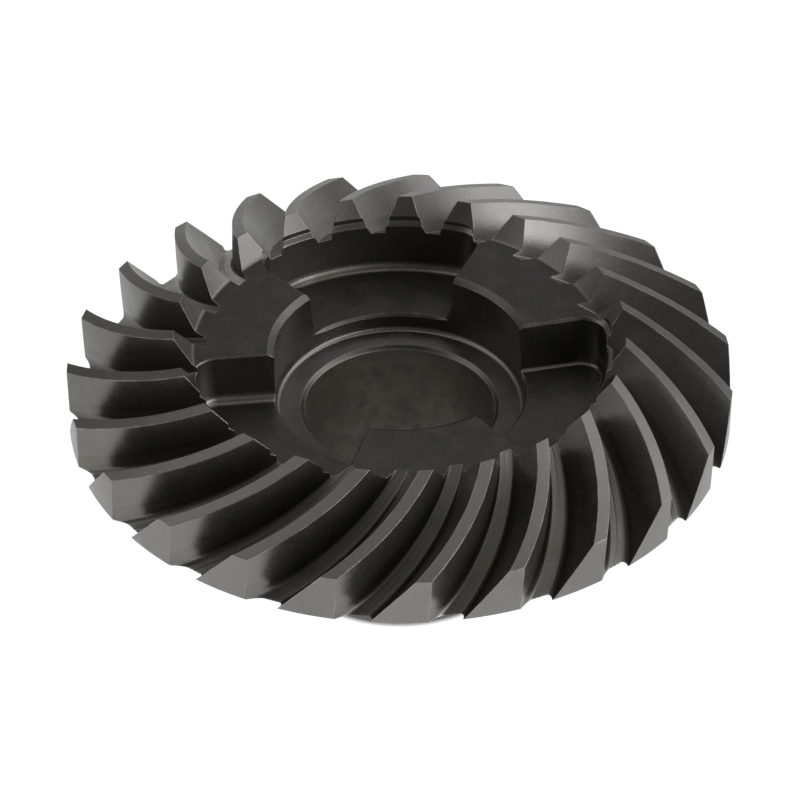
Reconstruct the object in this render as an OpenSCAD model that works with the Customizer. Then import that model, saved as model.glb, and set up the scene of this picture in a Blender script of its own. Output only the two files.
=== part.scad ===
// Spiral bevel gear with three clutch lugs on its front face and a plain bush pressed in its bore.
// Frame: origin on the gear axis at the rear end of the hub, +Z along the axis to the toothed front.

/* [Teeth] */
// number of teeth
teeth = 23; // [20:1:25]
// outside radius of the toothed rim, where the top lands end, mm
heel_r = 38.17; // [37.8:0.01:38.6]
// drop of the heel end of a top land below the lug tops, mm
heel_drop = 2.83; // [2.5:0.01:3.1]
// radius of the inner (toe) end of a top land, mm
toe_r = 25.8; // [25.4:0.01:26.1]
// height of the toe end of a top land above the lug tops, mm
toe_rise = 2.79; // [2.5:0.01:3.1]
// slope of the tooth-space floor below horizontal, degrees
root_slope = 30.5; // [30:0.1:32]
// radius where the tooth-space floor meets the lug-top plane, mm
root_r0 = 22.1; // [21.8:0.01:22.5]
// width of a top land at the heel, along the circle, mm
land_heel = 1.79; // [1.5:0.01:2.1]
// width of a top land at the toe, along the circle, mm
land_toe = 1.63; // [1.4:0.01:1.9]
// flank slope (sideways per depth) at the heel
flank_heel = 0.42; // [0.38:0.01:0.46]
// flank slope (sideways per depth) at the toe
flank_toe = 0.37; // [0.34:0.01:0.40]
// azimuth of the first tooth's heel end, degrees
tooth_phase = 148.70; // [140:0.01:156]
// turn of a tooth from heel to toe (the spiral), degrees
spiral_turn = 18.15; // [14:0.01:22]
// fillet at the foot of the flanks, mm
root_fillet = 0.6; // [0.4:0.05:0.7]

/* [Clutch lugs] */
// radius of the pocket outer wall, mm
pocket_r = 23.55; // [23.2:0.01:23.7]
// depth of the pockets below the lug tops, mm
pocket_depth = 6; // [5:0.1:6.5]
// azimuth of the middle of the first lug, degrees
lug_azimuth = 40.3; // [30:0.1:50]
// half the angle a lug covers at its inner edge, degrees
lug_half = 23.85; // [20:0.05:27]
// extra half angle of a lug at the pocket wall, degrees
lug_flare = 1.2; // [0:0.05:2]
// rounding of the pocket corners in plan, mm
pocket_corner = 2.6; // [1.5:0.1:3.5]
// chamfer round the inside edge of the lug tops, across the radius, mm
lug_chamfer = 0.8; // [0.4:0.05:1]
// depth of that chamfer, mm
lug_chamfer_depth = 0.5; // [0.3:0.05:0.7]
// width of the chamfer on the pocket's rim, mm
rim_chamfer = 0.84; // [0.5:0.01:0.9]

/* [Bore and ring] */
// radius of the counterbore inside the lugs, mm
counterbore_r = 14.35; // [14:0.05:14.6]
// fillet between the counterbore and the ring face, mm
ring_fillet = 0.8; // [0.4:0.05:1]
// depth of the ring face below the lug tops, mm
ring_depth = 8.2; // [7.8:0.1:8.6]
// shaft bore radius, mm
bore_r = 11; // [10.5:0.05:11.3]
// chamfer at the front of the bore, mm
bore_chamfer = 0.45; // [0.2:0.05:0.6]
// thickness of the lip in front of the bush, mm
lip = 2; // [1.5:0.1:3]
// wall thickness of the bush, mm
bush_wall = 1.5; // [1.2:0.1:1.8]

/* [Back and hub] */
// depth of the rim's rear edge below the lug tops, mm
rim_back = 8.75; // [8.6:0.05:9]
// inner radius of the flat part of the rim's back, mm
rim_flat_r = 34.2; // [33:0.1:35]
// depth of the hub shoulder below the lug tops, mm
shoulder_depth = 13; // [12.5:0.1:14]
// outer radius of the hub shoulder, mm
shoulder_r = 20.5; // [19:0.1:23]
// radius of the hub's bearing seat, mm
hub_r = 15; // [14.5:0.1:16]
// depth of the hub's rear end below the lug tops, mm
hub_depth = 29; // [28:0.1:30]
// chamfer at the rear end of the hub, mm
hub_chamfer = 0.5; // [0.3:0.1:1]

/* [Hidden] */
$fn = 180;

top = hub_depth;                  // z of the lug tops
bush_outer_r = bore_r + bush_wall;
lip_depth = ring_depth + lip;     // rear of the lip, below the lug tops
toe_run = 2.1 / 2.79;             // toe cone: radius per height
toe_foot_r = toe_r - toe_run * toe_rise;  // where the toe cone reaches the lug tops
heel_taper = 0.1;                 // radius lost from heel to rim back
shoulder_edge = [0.6, 0.4];       // bevel at the shoulder's outer edge: radius, height

bush_rear = 0.3;                  // z of the bush's rear end
bush_inner_chamfer = 0.4;
bush_outer_chamfer = 0.3;

// Tooth-space cutter.
half_pitch = 180 / teeth;
spiral_bow = 0.9;                 // weight of the tooth's bow between heel and toe, degrees
toe_fillet = 0.65;                // root fillet at the toe, as a share of that at the heel
cutter_over = 1.6;                // cutter height over the top lands
past_toe = 3.6;
past_heel = 5.2;
spans = 12;                       // lengths between cutter sections
// Foot of a flank, in fillets: height where the gap is taken, shift inward, height of the point
foot_points = [[1, 0, 1], [0.3, 0.17, 0.25], [0, 0.62, 0]];

// (radius, height over the lug tops) to (along, off) the slope of the tooth-space floor, and back
function along_of(r, z) = r * cos(root_slope) - z * sin(root_slope);
function off_of(r, z) = r * sin(root_slope) + z * cos(root_slope);
function radius_of(along, off) = along * cos(root_slope) + off * sin(root_slope);
function height_of(along, off) = off * cos(root_slope) - along * sin(root_slope);

floor_off = off_of(root_r0, 0);
heel_along = along_of(heel_r, -heel_drop);
heel_off = off_of(heel_r, -heel_drop);
toe_along = along_of(toe_r, toe_rise);
toe_off = off_of(toe_r, toe_rise);

// 0 at the toe, 1 at the heel
function share(along) = (along - toe_along) / (heel_along - toe_along);
function blend(toe, heel, along) = toe + (heel - toe) * share(along);
function land_off(along) = blend(toe_off, heel_off, along);
function tooth_azimuth(along) = let (u = share(along))
    tooth_phase + spiral_turn * (1 - u) + spiral_bow * u * (1 - u);

// half width of the tooth space, along the circle
function half_gap(along, off) =
    PI / teeth * radius_of(along, off)
    - blend(land_toe, land_heel, along) / 2
    - (land_off(along) - off) * blend(flank_toe, flank_heel, along);

// one side of a cutter section, top to floor: [offset along the circle, off]
function half_section(along) =
    let (fillet = root_fillet * blend(toe_fillet, 1, along),
         over = land_off(along) + cutter_over)
    concat([[half_gap(along, over), over]],
           [for (p = foot_points)
               [half_gap(along, floor_off + p[0] * fillet) - p[1] * fillet,
                floor_off + p[2] * fillet]]);

function section(along) = let (half = half_section(along))
    concat(half, [for (i = [len(half) - 1 : -1 : 0]) [-half[i][0], half[i][1]]]);

function place(along, p) =
    let (r = radius_of(along, p[1]),
         azimuth = tooth_azimuth(along) + half_pitch + p[0] / r * 180 / PI)
    [r * cos(azimuth), r * sin(azimuth), top + height_of(along, p[1])];

cutter_start = toe_along - past_toe;
cutter_step = (heel_along + past_heel - cutter_start) / spans;
section_size = 2 * (len(foot_points) + 1);
cutter_points = [for (i = [0 : spans])
    let (along = cutter_start + cutter_step * i)
    for (p = section(along)) place(along, p)];
// two end caps, then two triangles for each side panel
cutter_faces = concat(
    [[for (j = [section_size - 1 : -1 : 0]) j]],
    [[for (j = [0 : section_size - 1]) spans * section_size + j]],
    [for (i = [0 : spans - 1]) for (j = [0 : section_size - 1])
        let (p = i * section_size + j,
             q = i * section_size + (j + 1) % section_size)
        each [[p, q, p + section_size], [q, q + section_size, p + section_size]]]);

// Pocket plan, middle line on +X: the side wall on +Y, then its corner rounding.
lugs = 3;
lug_pitch = 360 / lugs;
inner_half = lug_pitch / 2 - lug_half;
outer_half = inner_half - lug_flare;
wall_inner = counterbore_r * [cos(inner_half), sin(inner_half)];
wall_outer = pocket_r * [cos(outer_half), sin(outer_half)];
wall_dir = (wall_outer - wall_inner) / norm(wall_outer - wall_inner);
wall_normal = [-wall_dir[1], wall_dir[0]];
// the rounding's centre lies on this line, one corner radius inside the pocket wall
inset = wall_inner - pocket_corner * wall_normal;
wall_along = wall_inner * wall_dir;
corner_start = -wall_along
    + sqrt(pow(wall_along, 2) - inset * inset + pow(pocket_r - pocket_corner, 2));
corner = inset + corner_start * wall_dir;
rim_half = atan2(corner[1], corner[0]);  // half angle of the outer wall between the corners

rim_chamfer_z = 0.3;              // the rim chamfer runs this far below and above the lug tops
rim_lean = 0.06;                  // outward lean of the step above the chamfer
rim_overlap = 2;                  // reach of the rim cutter inside the pocket wall
pocket_clear = 4;                 // reach of the pocket cutters above the lug tops

// turned blank, as radius and height over the lug tops
module blank() {
    translate([0, 0, top]) rotate_extrude() polygon([
        [bore_r, -ring_depth - bore_chamfer],
        [bore_r + bore_chamfer, -ring_depth],
        for (a = [0 : 15 : 90])
            [counterbore_r - ring_fillet * (1 - sin(a)), -ring_depth + ring_fillet * (1 - cos(a))],
        [counterbore_r, -lug_chamfer_depth],
        [counterbore_r + lug_chamfer, 0],
        [toe_foot_r, 0],
        [toe_r, toe_rise],
        [heel_r, -heel_drop],
        [heel_r - heel_taper, -rim_back],
        [rim_flat_r, -rim_back],
        [shoulder_r + shoulder_edge[0], -shoulder_depth + shoulder_edge[1]],
        [shoulder_r, -shoulder_depth],
        [hub_r, -shoulder_depth],
        [hub_r, -hub_depth + hub_chamfer],
        [hub_r - hub_chamfer, -hub_depth],
        [bush_outer_r, -hub_depth],
        [bush_outer_r, -lip_depth],
        [bore_r, -lip_depth]]);
}

function flip(p, side) = [p[0], side * p[1]];

// the gap between two lugs, corners rounded
module pocket_plan() {
    // both ends run past the wall
    inner_end = wall_inner - 2 * wall_dir;
    outer_end = wall_outer + 9 * wall_dir;
    // covers the sharp corner, from the rounding's centre outward
    corner_patch = [corner, corner + 1.4 * pocket_corner * wall_normal,
        1.25 * wall_outer, corner * (pocket_r + 1) / norm(corner)];
    difference() {
        intersection() {
            circle(r = pocket_r);
            polygon([inner_end, outer_end, flip(outer_end, -1), flip(inner_end, -1)]);
        }
        for (side = [-1, 1]) difference() {
            polygon([for (p = corner_patch) flip(p, side)]);
            translate(flip(corner, side)) circle(r = pocket_corner);
        }
    }
}

// chamfer on a pocket's rim and the step up to the tooth ends
module pocket_rim() {
    rotate(-rim_half) rotate_extrude(angle = 2 * rim_half) polygon([
        [pocket_r - rim_overlap, -rim_chamfer_z],
        [pocket_r, -rim_chamfer_z],
        [pocket_r + rim_chamfer, rim_chamfer_z],
        [pocket_r + rim_chamfer + rim_lean, pocket_clear],
        [pocket_r - rim_overlap, pocket_clear]]);
}

module pockets() {
    for (k = [0 : lugs - 1]) rotate(lug_azimuth + lug_pitch * (k + 0.5)) {
        translate([0, 0, top - pocket_depth])
            linear_extrude(pocket_depth + pocket_clear) pocket_plan();
        translate([0, 0, top]) pocket_rim();
    }
}

module gear() {
    color([0.16, 0.16, 0.165]) difference() {
        blank();
        pockets();
        for (k = [0 : teeth - 1]) rotate(k * 360 / teeth)
            polyhedron(points = cutter_points, faces = cutter_faces, convexity = 4);
    }
}

// plain bush, pressed in from the rear up to the lip
module bore_bush() {
    color([0.33, 0.29, 0.24]) rotate_extrude() polygon([
        [bore_r + bush_inner_chamfer, bush_rear],
        [bush_outer_r - bush_outer_chamfer, bush_rear],
        [bush_outer_r, bush_rear + bush_outer_chamfer],
        [bush_outer_r, top - lip_depth],
        [bore_r, top - lip_depth],
        [bore_r, bush_rear + bush_inner_chamfer]]);
}

gear();
bore_bush();
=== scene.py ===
import json
import math

import bpy
import numpy as np
from mathutils import Matrix, Vector


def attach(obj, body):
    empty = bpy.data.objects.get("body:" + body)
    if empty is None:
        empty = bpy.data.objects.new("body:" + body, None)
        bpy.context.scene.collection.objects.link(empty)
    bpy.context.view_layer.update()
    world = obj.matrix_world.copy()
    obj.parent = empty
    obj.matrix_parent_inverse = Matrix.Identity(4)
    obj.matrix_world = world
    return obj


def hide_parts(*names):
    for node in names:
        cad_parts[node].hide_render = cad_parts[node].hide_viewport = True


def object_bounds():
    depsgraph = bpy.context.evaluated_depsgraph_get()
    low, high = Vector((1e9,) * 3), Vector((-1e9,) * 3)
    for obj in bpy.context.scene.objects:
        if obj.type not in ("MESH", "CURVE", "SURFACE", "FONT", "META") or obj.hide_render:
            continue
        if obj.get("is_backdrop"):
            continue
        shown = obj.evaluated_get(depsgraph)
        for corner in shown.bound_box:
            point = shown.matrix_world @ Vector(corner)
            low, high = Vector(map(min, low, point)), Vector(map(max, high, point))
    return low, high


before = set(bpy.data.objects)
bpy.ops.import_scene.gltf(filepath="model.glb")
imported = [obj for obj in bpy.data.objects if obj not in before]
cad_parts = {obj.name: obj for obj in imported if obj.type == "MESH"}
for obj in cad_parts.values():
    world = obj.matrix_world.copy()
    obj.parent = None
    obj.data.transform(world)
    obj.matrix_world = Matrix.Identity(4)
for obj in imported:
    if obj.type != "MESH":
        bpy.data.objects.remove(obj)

MM = 0.001


def merged_bounds():
    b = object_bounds()
    return json.loads(json.dumps(b, default=lambda o: [float(x) for x in o]))


cad_box = merged_bounds()

# ------------------------------------------------------------------ shape, the same numbers as the CAD part
TEETH = 23
HEEL_R, HEEL_DROP = 38.17, 2.83
TOE_R, TOE_RISE = 25.8, 2.79
ROOT_SLOPE = math.radians(30.5)
ROOT_R0 = 22.1
LAND_HEEL, LAND_TOE = 1.79, 1.63
FLANK_HEEL, FLANK_TOE = 0.42, 0.37
PHASE, TURN = 148.70, 18.15
POCKET_R, POCKET_DEPTH = 23.55, 6.0
LUG_AZ, LUG_HALF, LUG_FLARE = 40.3, 23.85, 1.2
POCKET_CORNER = 2.6
CB_R, RING_DEPTH = 14.38, 8.2
BORE_R, BUSH_WALL, LIP = 11.0, 1.5, 2.0
RIM_BACK, RIM_FLAT_R = 8.75, 34.2
SHOULDER_DEPTH, SHOULDER_R = 13.0, 20.5
HUB_R, HUB_DEPTH = 15.0, 29.0
TOP = HUB_DEPTH

CS, SN = math.cos(ROOT_SLOPE), math.sin(ROOT_SLOPE)


def al(r, z):
    return r * CS - z * SN


def off(r, z):
    return r * SN + z * CS


FLOOR_N = off(ROOT_R0, 0)
A_HEEL, A_TOE = al(HEEL_R, -HEEL_DROP), al(TOE_R, TOE_RISE)
N_HEEL, N_TOE = off(HEEL_R, -HEEL_DROP), off(TOE_R, TOE_RISE)


def mesh_object(name, verts, faces):
    me = bpy.data.meshes.new(name)
    me.from_pydata([tuple(v) for v in verts], [], [tuple(f) for f in faces])
    me.update()
    ob = bpy.data.objects.new(name, me)
    bpy.context.scene.collection.objects.link(ob)
    return ob


def arc(cx, cz, r, a0, a1, n):
    return [(cx + r * math.cos(math.radians(a0 + (a1 - a0) * i / n)),
             cz + r * math.sin(math.radians(a0 + (a1 - a0) * i / n))) for i in range(n + 1)]


def lathe(name, profile, seg, closed=True):
    """profile: (radius, height) going once round the section; a closed ring of quads."""
    p = np.array(profile)
    k = len(p)
    t = np.linspace(0, 2 * np.pi, seg, endpoint=False)
    verts = np.stack([p[None, :, 0] * np.cos(t)[:, None], p[None, :, 0] * np.sin(t)[:, None],
                      np.repeat(p[None, :, 1], seg, 0)], -1).reshape(-1, 3) * MM
    faces = []
    for i in range(seg):
        j = (i + 1) % seg
        for a in range(k):
            b = (a + 1) % k
            faces.append((i * k + a, j * k + a, j * k + b, i * k + b))
    return mesh_object(name, verts, faces)


def fix_normals(ob):
    import bmesh
    bm = bmesh.new()
    bm.from_mesh(ob.data)
    bmesh.ops.recalc_face_normals(bm, faces=bm.faces)
    if bm.calc_volume(signed=True) < 0:
        bmesh.ops.reverse_faces(bm, faces=bm.faces)
    bm.to_mesh(ob.data)
    bm.free()


def fillet(p0, p1, p2, r, n):
    """points of the arc of radius r that rounds the corner p1 of the path p0-p1-p2."""
    a, b, c = (np.array(q, float) for q in (p0, p1, p2))
    u, v = (a - b) / np.linalg.norm(a - b), (c - b) / np.linalg.norm(c - b)
    half = math.acos(max(-1, min(1, float(u @ v)))) / 2
    d = r / math.tan(half)
    w = (u + v) / np.linalg.norm(u + v)
    o = b + w * r / math.sin(half)
    s, e = b + u * d - o, b + v * d - o
    a0, a1 = math.atan2(s[1], s[0]), math.atan2(e[1], e[0])
    while a1 - a0 > math.pi:
        a1 -= 2 * math.pi
    while a1 - a0 < -math.pi:
        a1 += 2 * math.pi
    return [(o[0] + r * math.cos(a0 + (a1 - a0) * i / n), o[1] + r * math.sin(a0 + (a1 - a0) * i / n))
            for i in range(n + 1)]


def rounded(path, radii, n=6):
    """a closed path with some corners rounded; radii gives (index: radius) or (index: (radius, steps))."""
    out = []
    k = len(path)
    for i, p in enumerate(path):
        r = radii.get(i)
        if r is None:
            out.append(tuple(p))
        else:
            r, m = r if isinstance(r, tuple) else (r, n)
            out += fillet(path[i - 1], p, path[(i + 1) % k], r, m)
    return out


# ------------------------------------------------------------------ the turned blank
toe_foot = TOE_R - 2.1 * TOE_RISE / 2.79
blank_path = [
    (BORE_R, -RING_DEPTH - 0.45), (BORE_R + 0.45, -RING_DEPTH),
    (CB_R, -RING_DEPTH), (CB_R, -0.5), (CB_R + 0.78, 0), (toe_foot, 0), (TOE_R, TOE_RISE),
    (HEEL_R, -HEEL_DROP), (HEEL_R - 0.1, -RIM_BACK), (RIM_FLAT_R, -RIM_BACK),
    (SHOULDER_R + 0.6, -SHOULDER_DEPTH + 0.4), (SHOULDER_R, -SHOULDER_DEPTH),
    (HUB_R, -SHOULDER_DEPTH), (HUB_R, -HUB_DEPTH + 0.5), (HUB_R - 0.5, -HUB_DEPTH),
    (BORE_R + BUSH_WALL, -HUB_DEPTH), (BORE_R + BUSH_WALL, -RING_DEPTH - LIP), (BORE_R, -RING_DEPTH - LIP)]
blank_path = [(r, z + TOP) for r, z in blank_path]
blank_profile = rounded(blank_path, {
    1: (0.08, 2), 2: (0.62, 10), 3: (0.08, 2), 4: (0.12, 3), 5: (0.55, 6), 8: (0.12, 2), 9: (3.0, 6), 12: (0.4, 4)})
gear = lathe("gear_forging", blank_profile, 1080)
fix_normals(gear)


# ------------------------------------------------------------------ the tooth-space cutter
def section(a, steps=7):
    u = (a - A_TOE) / (A_HEEL - A_TOE)
    n_face = N_TOE + (N_HEEL - N_TOE) * u
    land = LAND_TOE + (LAND_HEEL - LAND_TOE) * u
    fl = FLANK_TOE + (FLANK_HEEL - FLANK_TOE) * u
    rf = 0.24 + 0.98 * min(max(u, 0), 1.1)
    n0, nt = FLOOR_N, n_face + 1.6

    def gap(n):
        r = a * CS + n * SN
        return math.pi / TEETH * r - land / 2 - (n_face - n) * fl

    m = (gap(nt) - gap(n0)) / (nt - n0)
    x0 = gap(n0)
    q = math.sqrt(1 + m * m)
    xc = x0 + m * rf - rf * q
    if xc < 0.05:
        rf *= max(0.3, (x0 - 0.05) / max(1e-6, (rf * q - m * rf)))
        xc = x0 + m * rf - rf * q
    th = math.atan2(-m, 1.0)
    pts = []
    up = 5
    tx, tn = xc + rf / q, n0 + rf - rf * m / q
    for i in range(up + 1):
        s = i / up
        n = nt + (tn - nt) * s
        # the flank bulges very slightly, as a generated flank does
        bulge = -0.05 * math.sin(math.pi * min(1, max(0, (n - tn) / max(1e-6, n_face - tn)))) if n < n_face else 0.0
        pts.append((x0 + m * (n - n0) + bulge, n))
    for i in range(1, steps + 1):
        an = th + (-math.pi / 2 - th) * i / steps
        pts.append((xc + rf * math.cos(an), n0 + rf + rf * math.sin(an)))
    # faint lengthwise cutter marks on the floor
    w = max(xc, 0.05)
    pts.append((w * 0.62, n0 + 0.012))
    pts.append((w * 0.34, n0 - 0.012))
    pts.append((w * 0.12, n0 + 0.010))
    full = pts + [(-x, n) for x, n in reversed(pts)]
    return full


def spin(a):
    u = (a - A_TOE) / (A_HEEL - A_TOE)
    return PHASE + TURN * (1 - u) + 0.9 * u * (1 - u)


def tooth_space(azimuths, stations=84):
    verts, faces = [], []
    a0, a1 = A_TOE - 3.6, A_HEEL + 5.2
    secs = []
    for i in range(stations + 1):
        a = a0 + (a1 - a0) * i / stations
        secs.append((a, section(a)))
    k = len(secs[0][1])
    for az in azimuths:
        base = len(verts)
        for a, s in secs:
            mid = math.radians(spin(a) + 180 / TEETH + az)
            for x, n in s:
                r = a * CS + n * SN
                t = mid + x / r
                verts.append((r * math.cos(t) * MM, r * math.sin(t) * MM, (TOP - a * SN + n * CS) * MM))
        for i in range(stations):
            for j in range(k):
                p, q = base + i * k + j, base + i * k + (j + 1) % k
                faces.append((p, q, q + k, p + k))
        faces.append(tuple(base + j for j in reversed(range(k))))
        faces.append(tuple(base + stations * k + j for j in range(k)))
    return verts, faces


cutters = []
v, f = tooth_space([i * 360 / TEETH for i in range(TEETH)])
slots = mesh_object("cut_slots", v, f)
fix_normals(slots)
cutters.append(slots)

# ------------------------------------------------------------------ the pockets
h0 = math.radians(60 - LUG_HALF)
h1 = math.radians(60 - LUG_HALF - LUG_FLARE)
P0 = np.array([CB_R * math.cos(h0), CB_R * math.sin(h0)])
P1 = np.array([POCKET_R * math.cos(h1), POCKET_R * math.sin(h1)])
U = (P1 - P0) / np.linalg.norm(P1 - P0)
NRM = np.array([-U[1], U[0]])
if NRM[1] < 0:
    NRM = -NRM
lo, hi = 0.0, 40.0
for _ in range(60):
    mid_s = (lo + hi) / 2
    C = P0 + U * mid_s - NRM * POCKET_CORNER
    if np.linalg.norm(C) < POCKET_R - POCKET_CORNER:
        lo = mid_s
    else:
        hi = mid_s
C = P0 + U * lo - NRM * POCKET_CORNER


def outline(e_left, e_right, out, s_left, s_right, n_arc=14, n_wall=72, inner=-2.2):
    """the pocket's plan from one inner end round to the other: wall radius grown by out, the two side
    walls shifted by s, then everything offset by e (which also grows the corner radius)."""
    def half(shift, e):
        base = P0 + NRM * shift
        a, b = 0.0, 40.0
        for _ in range(50):
            s = (a + b) / 2
            if np.linalg.norm(base + U * s - NRM * POCKET_CORNER) < POCKET_R + out - POCKET_CORNER:
                a = s
            else:
                b = s
        c = base + U * a - NRM * POCKET_CORNER
        pts = [base + U * inner + NRM * e, base + U * 0.3 + NRM * e]
        for f in (0.25, 0.5, 0.75):
            pts.append(base + U * (a * f) + NRM * e)
        a0, a1 = math.atan2(NRM[1], NRM[0]), math.atan2(c[1], c[0])
        for i in range(n_arc + 1):
            an = a0 + (a1 - a0) * i / n_arc
            pts.append(c + (POCKET_CORNER + e) * np.array([math.cos(an), math.sin(an)]))
        return pts, a1

    left, t1 = half(s_left, e_left)
    right, t0 = half(s_right, e_right)
    wall = []
    for i in range(1, n_wall):
        an = t1 - (t1 + t0) * i / n_wall
        k = min(1.0, i / (0.14 * n_wall))
        e = e_left + (e_right - e_left) * k * k * (3 - 2 * k)
        wall.append((POCKET_R + out + e) * np.array([math.cos(an), math.sin(an)]))
    return np.array(left + wall + [np.array([q[0], -q[1]]) for q in reversed(right)])


def stack(name, rings, zs, az):
    """a solid from plan outlines stacked at the given heights, turned to the azimuth."""
    k = len(rings[0])
    t = math.radians(az)
    rot = np.array([[math.cos(t), -math.sin(t)], [math.sin(t), math.cos(t)]])
    verts, faces = [], []
    for z, ring in zip(zs, rings):
        for q in ring @ rot.T:
            verts.append((q[0] * MM, q[1] * MM, (TOP + z) * MM))
    for i in range(len(rings) - 1):
        for j in range(k):
            a, b = i * k + j, i * k + (j + 1) % k
            faces.append((a, b, b + k, a + k))
    faces.append(tuple(reversed(range(k))))
    faces.append(tuple((len(rings) - 1) * k + j for j in range(k)))
    ob = mesh_object(name, verts, faces)
    fix_normals(ob)
    return ob


def pocket(az):
    """forged pocket: drafted walls, a filleted floor that is tighter on the driving side, and a chamfer
    along the top edge that is larger on the driving side."""
    f_left, f_right, draft = 0.38, 1.0, 5.75

    def e_of(h, f):
        return 0.0 if h >= f else -f + math.sqrt(max(0.0, f * f - (f - h) ** 2))

    hs = sorted({round(f * (1 - math.cos(math.pi / 2 * i / 7)), 4) for f in (f_left, f_right) for i in range(8)})
    levels = []
    for h in hs:
        k = h / draft
        levels.append((-POCKET_DEPTH + h, e_of(h, f_left), e_of(h, f_right), 0.28 * k, -0.66 * (1 - k), -0.42 + 0.30 * k))
    levels += [(-0.25, 0.0, 0.0, 0.28, 0.0, -0.12), (-0.12, 0.13, 0.0, 0.28, 0.0, -0.12),
               (0.0, 0.25, 0.12, 0.28, 0.0, -0.12), (0.3, 0.55, 0.42, 0.28, 0.0, -0.12),
               (3.0, 0.62, 0.5, 0.28, 0.0, -0.12)]
    return stack("cut_pocket", [outline(*q[1:]) for q in levels], [q[0] for q in levels], az)


def rim(az):
    """the step turned into the tooth toes above the pocket's back wall."""
    lv = [(-0.12, 0.24), (0.30, 0.84), (4.0, 0.90)]
    span = math.degrees(math.atan2(C[1], C[0])) + 2.5
    m = 100
    rings = []
    for z, d in lv:
        pts = []
        for t in np.linspace(span, -span, m + 1):
            k = min(1.0, max(0.0, (span - 1.0 - abs(t)) / (9.0 if t < 0 else 5.0)))
            k = k * k * (3 - 2 * k)
            pts.append((POCKET_R + d * k - 0.5 * (1 - k)) * np.array([math.cos(math.radians(t)), math.sin(math.radians(t))]))
        pts += [(POCKET_R - 1.4) * np.array([math.cos(t), math.sin(t)]) for t in np.radians(np.linspace(-span, span, m + 1))]
        rings.append(np.array(pts))
    return stack("cut_rim", rings, [q[0] for q in lv], az)


def edge_break(az):
    """a small chamfer where the pocket floor meets the counterbore, running out towards the side walls."""
    span = math.degrees(h0) - 0.8
    m = 90
    verts, faces = [], []
    for i in range(m + 1):
        deg = span * (2 * i / m - 1)
        t = math.radians(az + deg)
        k = min(1.0, (span - abs(deg)) / 9.0)
        c = 0.30 * k * k * (3 - 2 * k)
        for r, z in ((CB_R - 0.4, 0.35), (CB_R - 0.4, -0.4 - c), (CB_R + c, 0.0), (CB_R + c, 0.35)):
            verts.append((r * math.cos(t) * MM, r * math.sin(t) * MM, (TOP - POCKET_DEPTH + z) * MM))
    for i in range(m):
        for j in range(4):
            p, q = i * 4 + j, i * 4 + (j + 1) % 4
            faces.append((p, q, q + 4, p + 4))
    faces.append((3, 2, 1, 0))
    faces.append(tuple(m * 4 + j for j in range(4)))
    ob = mesh_object("cut_edge", verts, faces)
    fix_normals(ob)
    return ob


for i in range(3):
    cutters.append(pocket(LUG_AZ + 60 + 120 * i))
    cutters.append(rim(LUG_AZ + 60 + 120 * i))
for i in range(3):
    cutters.append(edge_break(LUG_AZ + 60 + 120 * i))

for c in cutters:
    m = gear.modifiers.new("cut", "BOOLEAN")
    m.operation = "DIFFERENCE"
    m.object = c
    try:
        m.solver = "MANIFOLD"
    except TypeError:
        m.solver = "EXACT"
dg = bpy.context.evaluated_depsgraph_get()
made = bpy.data.meshes.new_from_object(gear.evaluated_get(dg))
gear.modifiers.clear()
old = gear.data
gear.data = made
bpy.data.meshes.remove(old)
for c in cutters:
    me = c.data
    bpy.data.objects.remove(c)
    bpy.data.meshes.remove(me)
print("gear faces", len(gear.data.polygons))


def tidy(ob, angle, merge=0.004):
    import bmesh
    bm = bmesh.new()
    bm.from_mesh(ob.data)
    bmesh.ops.remove_doubles(bm, verts=bm.verts, dist=merge * MM)
    bmesh.ops.dissolve_degenerate(bm, dist=merge * MM, edges=bm.edges)
    bm.to_mesh(ob.data)
    bm.free()
    me = ob.data
    me.shade_smooth()
    me.set_sharp_from_angle(angle=math.radians(angle))
    bm = bmesh.new()
    bm.from_mesh(me)
    for e in bm.edges:
        if len(e.link_faces) == 2:
            flat = [f.normal.z > 0.99995 and abs(f.calc_center_median().z / MM - TOP) < 0.002 for f in e.link_faces]
            if flat[0] != flat[1]:
                e.smooth = False
    bm.to_mesh(me)
    bm.free()
    w = ob.modifiers.new("normals", "WEIGHTED_NORMAL")
    w.mode = "FACE_AREA"
    w.keep_sharp = True
    w.weight = 50


tidy(gear, 24)


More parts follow.
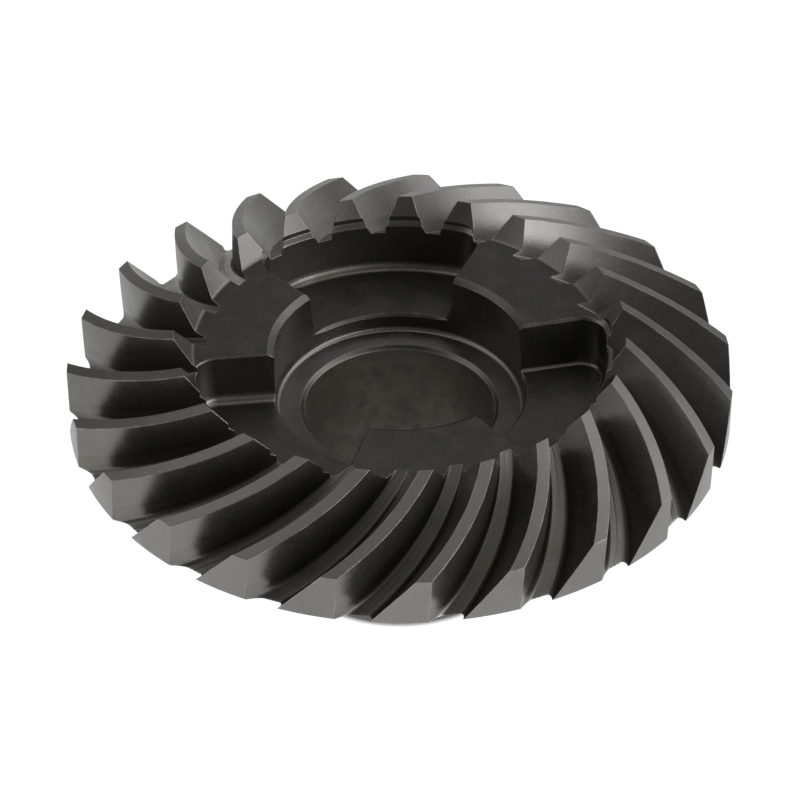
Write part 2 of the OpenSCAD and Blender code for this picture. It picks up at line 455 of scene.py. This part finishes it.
def painted_light_gains_and_stain_mask(ob):
    """per-face gains on the oxide colour, set to how the light falls (painted light and shade): tooth spaces darker
    towards their root, heel ends, toes and crests lighter, pocket floors, lug chamfers and land tops darker, painted
    highlights on the fillets; also the depth mask for the stain low in the tooth spaces.
    """
    me = ob.data
    n = len(me.polygons)
    c = np.empty(n * 3)
    me.polygons.foreach_get("center", c)
    c = c.reshape(-1, 3) / MM
    nr = np.empty(n * 3)
    me.polygons.foreach_get("normal", nr)
    nr = nr.reshape(-1, 3)
    r = np.hypot(c[:, 0], c[:, 1])
    z = c[:, 2] - TOP
    rad = (nr[:, 0] * c[:, 0] + nr[:, 1] * c[:, 1]) / np.maximum(r, 1e-6)
    tan = (nr[:, 1] * c[:, 0] - nr[:, 0] * c[:, 1]) / np.maximum(r, 1e-6)
    a = r * CS - z * SN
    nn = r * SN + z * CS
    u = (a - A_TOE) / (A_HEEL - A_TOE)
    face = N_TOE + (N_HEEL - N_TOE) * u
    lug = (r > CB_R - 0.2) & (r < CB_R + 0.9) & (z > -0.6) & (rad < -0.3) & (np.abs(tan) < 0.1)
    toe = (r > 23.3) & (r < TOE_R + 0.15) & (z > -0.4) & (rad < -0.25) & (np.abs(tan) < 0.16)
    heel = (r > HEEL_R - 0.25) & (rad > 0.8) & (np.abs(tan) < 0.15)
    deep = (nn - FLOOR_N) / np.maximum(face - FLOOR_N, 0.1)
    inside = (r > 22.3) & (z > -RIM_BACK + 0.2) & (nn < face - 0.05) & ~toe & ~heel
    crest = (np.abs(nn - face) < 0.05) & (r > TOE_R - 0.2)
    flat = (z > -0.01) & (z < 0.01) & (nr[:, 2] > 0.999)
    val = np.full(n, 1.0)
    # painted shade: the tooth spaces get darker towards their root, and the floor darkens away from the toe and is
    # brighter again where it runs out at the heel
    along = 1.12 - 0.40 * np.clip((a - A_TOE + 1.0) / 5.0, 0, 1) + 0.20 * np.clip((a - A_HEEL + 2.2) / 2.4, 0, 1)
    floor_part = 1 - np.clip((deep - 0.10) / 0.20, 0, 1)
    val = np.where(inside, np.clip(1.02 + 0.30 * deep, 1.02, 1.18) * (1 + (along - 1) * floor_part), val)
    # painted shade on the pocket floors
    sunk = (np.abs(z + POCKET_DEPTH) < 0.01) & (nr[:, 2] > 0.999)
    val = np.where(sunk, 0.80, val)
    # painted shade on the lug chamfers and land tops, painted light on the toes, crests and heel ends
    val = np.where(lug, 0.68, val)
    val = np.where(toe, 1.08, val)
    val = np.where(crest, 1.03, val)
    val = np.where(heel, 1.25, val)
    val = np.where(flat, 0.79, val)
    # painted highlights on the counterbore fillet and the pocket-floor fillets
    blend = (nr[:, 2] > 0.12) & (nr[:, 2] < 0.985)
    val = np.where(blend & (z < -RING_DEPTH + 0.8) & (z > -RING_DEPTH - 0.01) & (r > CB_R - 0.85) & (r < CB_R + 0.05), 1.45, val)
    val = np.where(blend & (z < -POCKET_DEPTH + 0.98) & (z > -POCKET_DEPTH + 0.005) & (r > CB_R + 0.1) & (r < POCKET_R + 0.3), 1.4, val)
    val = val.astype(np.float32)
    at = me.attributes.new("painted_light_gain", "FLOAT", "FACE")
    at.data.foreach_set("value", val)
    low = np.where(inside, 1 - np.clip(deep / 0.55, 0, 1), 0).astype(np.float32)
    at = me.attributes.new("low", "FLOAT", "FACE")
    at.data.foreach_set("value", low)


painted_light_gains_and_stain_mask(gear)

# ------------------------------------------------------------------ the bush
bush_path = [(BORE_R, 0.7), (BORE_R + 0.4, 0.3), (BORE_R + BUSH_WALL - 0.3, 0.3), (BORE_R + BUSH_WALL, 0.6),
             (BORE_R + BUSH_WALL, TOP - RING_DEPTH - LIP), (BORE_R, TOP - RING_DEPTH - LIP)]
bush = lathe("bore_bush_sleeve", bush_path, 540)
fix_normals(bush)
tidy(bush, 24)


# ------------------------------------------------------------------ materials
class Nodes:
    def __init__(self, tree):
        self.t = tree
        tree.nodes.clear()

    def add(self, kind, **kw):
        n = self.t.nodes.new(kind)
        for k, v in kw.items():
            if k == "inputs":
                for name, val in v.items():
                    sock = n.inputs[name]
                    if isinstance(val, bpy.types.NodeSocket):
                        self.t.links.new(val, sock)
                    else:
                        sock.default_value = val
            else:
                setattr(n, k, v)
        return n

    def math(self, op, a, b=0.0, c=0.0, clamp=False):
        n = self.t.nodes.new("ShaderNodeMath")
        n.operation = op
        n.use_clamp = clamp
        for i, x in enumerate((a, b, c)):
            if isinstance(x, bpy.types.NodeSocket):
                self.t.links.new(x, n.inputs[i])
            else:
                n.inputs[i].default_value = x
        return n.outputs[0]

    def ramp(self, x, lo, hi, a=0.0, b=1.0, smooth=True):
        n = self.t.nodes.new("ShaderNodeMapRange")
        n.interpolation_type = "SMOOTHSTEP" if smooth else "LINEAR"
        self.t.links.new(x, n.inputs["Value"])
        n.inputs["From Min"].default_value = lo
        n.inputs["From Max"].default_value = hi
        n.inputs["To Min"].default_value = a
        n.inputs["To Max"].default_value = b
        return n.outputs[0]

    def noise(self, vec, scale, detail=4.0, rough=0.55):
        n = self.t.nodes.new("ShaderNodeTexNoise")
        self.t.links.new(vec, n.inputs["Vector"])
        n.inputs["Scale"].default_value = scale
        n.inputs["Detail"].default_value = detail
        n.inputs["Roughness"].default_value = rough
        return n.outputs["Fac"]

    def mix(self, fac, a, b):
        n = self.t.nodes.new("ShaderNodeMix")
        n.data_type = "RGBA"
        for sock, x in ((n.inputs[0], fac), (n.inputs[6], a), (n.inputs[7], b)):
            if isinstance(x, bpy.types.NodeSocket):
                self.t.links.new(x, sock)
            else:
                sock.default_value = x
        return n.outputs[2]


def bore_tone(N, co):
    big = N.noise(co, 120.0, 4.0, 0.6)
    mid = N.noise(co, 600.0, 4.0, 0.6)
    tone = N.mix(N.ramp(big, 0.35, 0.65), (0.185, 0.170, 0.146, 1), (0.240, 0.217, 0.184, 1))
    return N.mix(N.ramp(mid, 0.42, 0.70, 0.0, 0.6), tone, (0.145, 0.137, 0.125, 1))


def steel():
    mat = bpy.data.materials.new("black_oxide_steel")
    mat.use_nodes = True
    N = Nodes(mat.node_tree)
    out = N.add("ShaderNodeOutputMaterial")
    bsdf = N.add("ShaderNodeBsdfPrincipled")
    N.t.links.new(bsdf.outputs[0], out.inputs["Surface"])
    co = N.add("ShaderNodeTexCoord").outputs["Object"]
    big = N.noise(co, 55.0, 3.0, 0.5)
    mid = N.noise(co, 420.0, 4.0, 0.6)
    fine = N.noise(co, 4200.0, 3.0, 0.6)
    # edges: rounded normal against the true one
    bev = N.add("ShaderNodeBevel", samples=6)
    bev.inputs["Radius"].default_value = 0.00022
    geo = N.add("ShaderNodeNewGeometry")
    dot = N.add("ShaderNodeVectorMath", operation="DOT_PRODUCT")
    N.t.links.new(bev.outputs[0], dot.inputs[0])
    N.t.links.new(geo.outputs["Normal"], dot.inputs[1])
    edge = N.ramp(dot.outputs["Value"], 0.995, 0.90, 0.0, 1.0)
    wear_and_edge_highlight = N.math("MULTIPLY", edge, N.ramp(mid, 0.40, 0.62, 0.15, 1.0), clamp=True)
    # the base colour is scaled by the per-face gains: painted light and shade
    painted_light_gain_fac = N.add("ShaderNodeAttribute", attribute_name="painted_light_gain").outputs["Fac"]
    base = N.mix(N.ramp(big, 0.35, 0.65), (0.101, 0.099, 0.094, 1), (0.119, 0.117, 0.111, 1))
    base = N.mix(N.ramp(mid, 0.45, 0.75, 0.0, 0.40), base, (0.142, 0.130, 0.116, 1))
    base = N.mix(N.ramp(fine, 0.58, 0.74, 0.0, 0.45), base, (0.25, 0.243, 0.232, 1))
    scaled = N.add("ShaderNodeVectorMath", operation="SCALE")
    N.t.links.new(base, scaled.inputs[0])
    N.t.links.new(painted_light_gain_fac, scaled.inputs["Scale"])
    base = scaled.outputs[0]
    # oil-brown staining low in the tooth spaces
    low = N.add("ShaderNodeAttribute", attribute_name="low").outputs["Fac"]
    stain = N.math("MULTIPLY", N.ramp(low, 0.0, 0.9), N.ramp(N.noise(co, 210.0, 4.0, 0.6), 0.46, 0.66, 0.0, 0.5))
    base = N.mix(stain, base, (0.098, 0.078, 0.060, 1))
    # the bore keeps the tone of its bush right up to the lip
    sep = N.add("ShaderNodeSeparateXYZ")
    N.t.links.new(co, sep.inputs[0])
    rad = N.math("SQRT", N.math("ADD", N.math("MULTIPLY", sep.outputs[0], sep.outputs[0]), N.math("MULTIPLY", sep.outputs[1], sep.outputs[1])))
    bore = N.math("MULTIPLY", N.ramp(rad, 0.01105, 0.01112, 1.0, 0.0), N.ramp(sep.outputs[2], 0.0204, 0.0206, 1.0, 0.0))
    base = N.mix(bore, base, bore_tone(N, co))
    # edges lighter with noise: partly rubbed wear, partly painted highlight along the crest edges
    base = N.mix(N.math("MULTIPLY", wear_and_edge_highlight, 0.60), base, (0.36, 0.352, 0.34, 1))
    N.t.links.new(base, bsdf.inputs["Base Color"])
    N.t.links.new(N.ramp(bore, 0.0, 1.0, 0.90, 0.85, False), bsdf.inputs["Metallic"])
    rough = N.math("ADD", N.ramp(mid, 0.3, 0.7, 0.25, 0.33, False), N.ramp(fine, 0.3, 0.7, -0.03, 0.04, False))
    rough = N.math("SUBTRACT", rough, N.math("MULTIPLY", wear_and_edge_highlight, 0.08))
    rough = N.math("ADD", rough, N.math("MULTIPLY", bore, 0.17))
    N.t.links.new(rough, bsdf.inputs["Roughness"])
    bump = N.add("ShaderNodeBump")
    bump.inputs["Strength"].default_value = 0.10
    bump.inputs["Distance"].default_value = 0.00006
    N.t.links.new(N.math("ADD", fine, N.math("MULTIPLY", mid, 0.7)), bump.inputs["Height"])
    soft = N.add("ShaderNodeBevel", samples=6)
    N.t.links.new(N.ramp(painted_light_gain_fac, 1.024, 1.029, 0.00006, 0.00015, False), soft.inputs["Radius"])
    N.t.links.new(soft.outputs[0], bump.inputs["Normal"])
    N.t.links.new(bump.outputs[0], bsdf.inputs["Normal"])
    return mat


def bronze():
    mat = bpy.data.materials.new("oiled_bush_bronze")
    mat.use_nodes = True
    N = Nodes(mat.node_tree)
    out = N.add("ShaderNodeOutputMaterial")
    bsdf = N.add("ShaderNodeBsdfPrincipled")
    N.t.links.new(bsdf.outputs[0], out.inputs["Surface"])
    co = N.add("ShaderNodeTexCoord").outputs["Object"]
    mid = N.noise(co, 600.0, 4.0, 0.6)
    fine = N.noise(co, 5000.0, 2.0, 0.6)
    base = bore_tone(N, co)
    N.t.links.new(base, bsdf.inputs["Base Color"])
    bsdf.inputs["Metallic"].default_value = 0.85
    N.t.links.new(N.ramp(mid, 0.3, 0.7, 0.42, 0.55, False), bsdf.inputs["Roughness"])
    bump = N.add("ShaderNodeBump")
    bump.inputs["Strength"].default_value = 0.12
    bump.inputs["Distance"].default_value = 0.00005
    N.t.links.new(N.math("ADD", fine, mid), bump.inputs["Height"])
    N.t.links.new(bump.outputs[0], bsdf.inputs["Normal"])
    return mat


steel_mat, bronze_mat = steel(), bronze()


def paint(ob, mat):
    ob.data.materials.clear()
    ob.data.materials.append(mat)
    for p in ob.data.polygons:
        p.material_index = 0


paint(gear, steel_mat)
paint(bush, bronze_mat)
for n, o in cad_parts.items():
    paint(o, bronze_mat if n == "bore_bush" else steel_mat)

for ob, node, slot in ((gear, "gear", "gear_steel"), (bush, "bore_bush", "bush_bronze")):
    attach(ob, "root")
    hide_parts(node)

# ------------------------------------------------------------------ floor, light, camera
floor = mesh_object("floor", [(-3, -3, 0), (3, -3, 0), (3, 3, 0), (-3, 3, 0)], [(0, 1, 2, 3)])
floor.location.z = -0.0002
fm = bpy.data.materials.new("floor_white")
fm.use_nodes = True
N = Nodes(fm.node_tree)
out = N.add("ShaderNodeOutputMaterial")
bsdf = N.add("ShaderNodeBsdfPrincipled")
N.t.links.new(bsdf.outputs[0], out.inputs["Surface"])
co = N.add("ShaderNodeTexCoord").outputs["Object"]
tone = N.ramp(N.noise(co, 9.0, 2.0, 0.5), 0.3, 0.7, 0.10, 0.12)
dist = N.add("ShaderNodeVectorMath", operation="LENGTH")
N.t.links.new(co, dist.inputs[0])
# the floor glows at about a third inside 14.3 mm radius: painted shadow under the hub, seen through the bore
glow = N.ramp(dist.outputs["Value"], 0.0143, 0.0150, 0.34, 0.99)
mixc = N.add("ShaderNodeCombineColor")
for i in range(3):
    N.t.links.new(tone, mixc.inputs[i])
N.t.links.new(mixc.outputs[0], bsdf.inputs["Base Color"])
bsdf.inputs["Roughness"].default_value = 0.9
bsdf.inputs["Emission Color"].default_value = (1, 1, 1, 1)
# the card under the gear is lit from the front: seen directly it is evenly white, in reflections it falls off behind
sep = N.add("ShaderNodeSeparateXYZ")
N.t.links.new(co, sep.inputs[0])
lit = N.math("MULTIPLY", glow, N.ramp(sep.outputs[1], -0.07, 0.07, 1.36, 0.62))
seen = N.add("ShaderNodeLightPath").outputs["Is Camera Ray"]
strength = N.math("ADD", N.math("MULTIPLY", glow, seen), N.math("MULTIPLY", lit, N.math("SUBTRACT", 1.0, seen)))
N.t.links.new(strength, bsdf.inputs["Emission Strength"])
# from below the floor isn't there
clear = N.add("ShaderNodeBsdfTransparent")
mixs = N.add("ShaderNodeMixShader")
N.t.links.new(N.add("ShaderNodeNewGeometry").outputs["Backfacing"], mixs.inputs[0])
N.t.links.new(bsdf.outputs[0], mixs.inputs[1])
N.t.links.new(clear.outputs[0], mixs.inputs[2])
N.t.links.new(mixs.outputs[0], out.inputs["Surface"])
floor.data.materials.append(fm)
floor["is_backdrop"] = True

world = bpy.data.worlds.new("studio")
bpy.context.scene.world = world
world.use_nodes = True
W = Nodes(world.node_tree)
wout = W.add("ShaderNodeOutputWorld")
bg = W.add("ShaderNodeBackground")
W.t.links.new(bg.outputs[0], wout.inputs["Surface"])
gen = W.add("ShaderNodeTexCoord").outputs["Generated"]
sep = W.add("ShaderNodeSeparateXYZ")
W.t.links.new(gen, sep.inputs[0])
x, y, z = sep.outputs[0], sep.outputs[1], sep.outputs[2]
# soft lobes of the studio light: azimuth and height in degrees, strength
BOXES = [(26, 2, 0.67), (103, 2, 2.15), (129, 2, 2.67), (154, 2, 0.31), (-51, 2, 0.21), (-26, 2, 0.21),
         (13, 20, 0.13), (90, 20, 1.35), (116, 20, 2.39), (-116, 20, 0.38), (-90, 20, 0.59), (-39, 20, 0.15),
         (-13, 20, 0.15), (60, 38, 1.93), (150, 38, 0.17), (180, 38, 0.13), (-150, 38, 0.06), (-90, 38, 0.64),
         (60, 56, 1.08), (-60, 56, 0.91), (0, 74, 0.91)]
level = None
for az, el, power in BOXES:
    a, e = math.radians(az), math.radians(el)
    dot = W.add("ShaderNodeVectorMath", operation="DOT_PRODUCT")
    W.t.links.new(gen, dot.inputs[0])
    dot.inputs[1].default_value = (math.sin(a) * math.cos(e), math.cos(a) * math.cos(e), math.sin(e))
    glow = W.math("MULTIPLY", W.math("EXPONENT", W.math("MULTIPLY_ADD", dot.outputs["Value"], 16.0, -16.0)), power)
    level = glow if level is None else W.math("ADD", level, glow)
level = W.math("ADD", level, 0.020)
W.t.links.new(level, bg.inputs["Strength"])
bg.inputs["Color"].default_value = (1, 1, 1, 1)


# camera: fitted view of the object
EL, ROLL = math.radians(38.101), math.radians(0.016)
DIST, SCALE, OX, OY = 690.4, 7.2914, 399.85, 348.31
UNIT = 11.0 / 13.2
fwd = np.array([0, math.cos(EL), -math.sin(EL)])
right = np.array([1.0, 0, 0])
up = np.cross(right, fwd)
r2 = right * math.cos(ROLL) + up * math.sin(ROLL)
u2 = -right * math.sin(ROLL) + up * math.cos(ROLL)
a_, b_ = (OX - 400) / SCALE, -(OY - 400) / SCALE
eye = (-DIST * fwd - a_ * r2 - b_ * u2) * UNIT * MM + np.array([0, 0, TOP * MM])
cam = bpy.data.cameras.new("camera")
cam.sensor_fit = "HORIZONTAL"
cam.sensor_width = 36.0
cam.lens = SCALE * DIST / 800 * 36.0
cam.clip_start = 0.01
cam.clip_end = 50
cam_ob = bpy.data.objects.new("camera", cam)
bpy.context.scene.collection.objects.link(cam_ob)
m = Matrix((
    (r2[0], u2[0], -fwd[0], eye[0]),
    (r2[1], u2[1], -fwd[1], eye[1]),
    (r2[2], u2[2], -fwd[2], eye[2]),
    (0, 0, 0, 1)))
cam_ob.matrix_world = m
bpy.context.scene.camera = cam_ob
bpy.context.scene.view_settings.view_transform = "Standard"

{"cad": cad_box, "visual": merged_bounds()}
